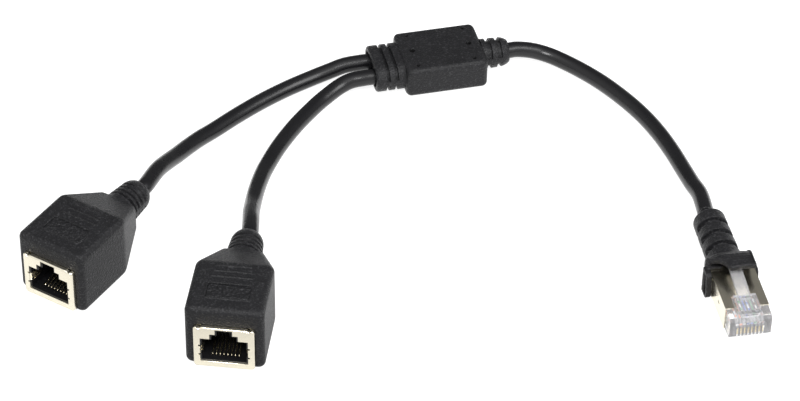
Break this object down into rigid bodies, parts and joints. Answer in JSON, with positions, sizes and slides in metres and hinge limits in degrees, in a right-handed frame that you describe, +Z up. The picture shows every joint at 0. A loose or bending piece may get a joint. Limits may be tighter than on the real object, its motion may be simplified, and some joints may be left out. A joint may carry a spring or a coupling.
{
  "type": "rj45 splitter adapter",
  "caption": "Short Y-shaped network splitter lead: a shielded modular plug with a ribbed boot, a moulded junction block and two moulded shielded sockets.",
  "frame": {"origin": "centre of the junction block's underside, on the table that the lead lies on", "axes": "+Z up from the table; +X towards the plug's side; +Y away from the mouth of the right-hand socket, which opens along -Y"},
  "size_m": [0.205, 0.1503, 0.02],
  "materials": {
    "moulding": "satin black moulded PVC with a fine grain",
    "jacket": "smooth semi-gloss black PVC",
    "socket_black": "matt black moulded plastic",
    "nickel": "bright nickel-plated sheet",
    "gold": "gold-plated",
    "clear_housing": "clear polycarbonate",
    "board": "green solder mask",
    "wire_white_orange": "glossy polyethylene wire insulation",
    "wire_orange": "glossy polyethylene wire insulation",
    "wire_white_green": "glossy polyethylene wire insulation",
    "wire_blue": "glossy polyethylene wire insulation",
    "wire_white_blue": "glossy polyethylene wire insulation",
    "wire_green": "glossy polyethylene wire insulation",
    "wire_white_brown": "glossy polyethylene wire insulation",
    "wire_brown": "glossy polyethylene wire insulation"
  },
  "bodies": {
    "root": {"junction_overmould": "moulding", "junction_splice_board": "board", "junction_left_leg_wires": "wire_blue", "junction_right_leg_wires": "wire_green", "junction_trunk_wires": "wire_orange", "left_cord": "jacket", "right_cord": "jacket", "trunk_cord": "jacket", "left_jack_overmould": "moulding", "left_jack_shield": "nickel", "left_jack_insert": "socket_black", "left_jack_tail_board": "board", "left_jack_wires": "wire_orange", "left_jack_contact_1": "gold", "left_jack_contact_2": "gold", "left_jack_contact_3": "gold", "left_jack_contact_4": "gold", "left_jack_contact_5": "gold", "left_jack_contact_6": "gold", "left_jack_contact_7": "gold", "left_jack_contact_8": "gold", "right_jack_overmould": "moulding", "right_jack_shield": "nickel", "right_jack_insert": "socket_black", "right_jack_tail_board": "board", "right_jack_wires": "wire_orange", "right_jack_contact_1": "gold", "right_jack_contact_2": "gold", "right_jack_contact_3": "gold", "right_jack_contact_4": "gold", "right_jack_contact_5": "gold", "right_jack_contact_6": "gold", "right_jack_contact_7": "gold", "right_jack_contact_8": "gold", "plug_housing": "clear_housing", "plug_shield": "nickel", "plug_boot": "moulding", "plug_load_bar": "clear_housing", "plug_contact_1": "gold", "plug_contact_2": "gold", "plug_contact_3": "gold", "plug_contact_4": "gold", "plug_contact_5": "gold", "plug_contact_6": "gold", "plug_contact_7": "gold", "plug_contact_8": "gold", "plug_wire_1": "wire_white_orange", "plug_wire_2": "wire_orange", "plug_wire_3": "wire_white_green", "plug_wire_4": "wire_blue", "plug_wire_5": "wire_white_blue", "plug_wire_6": "wire_green", "plug_wire_7": "wire_white_brown", "plug_wire_8": "wire_brown"}
  },
  "joints": []
}
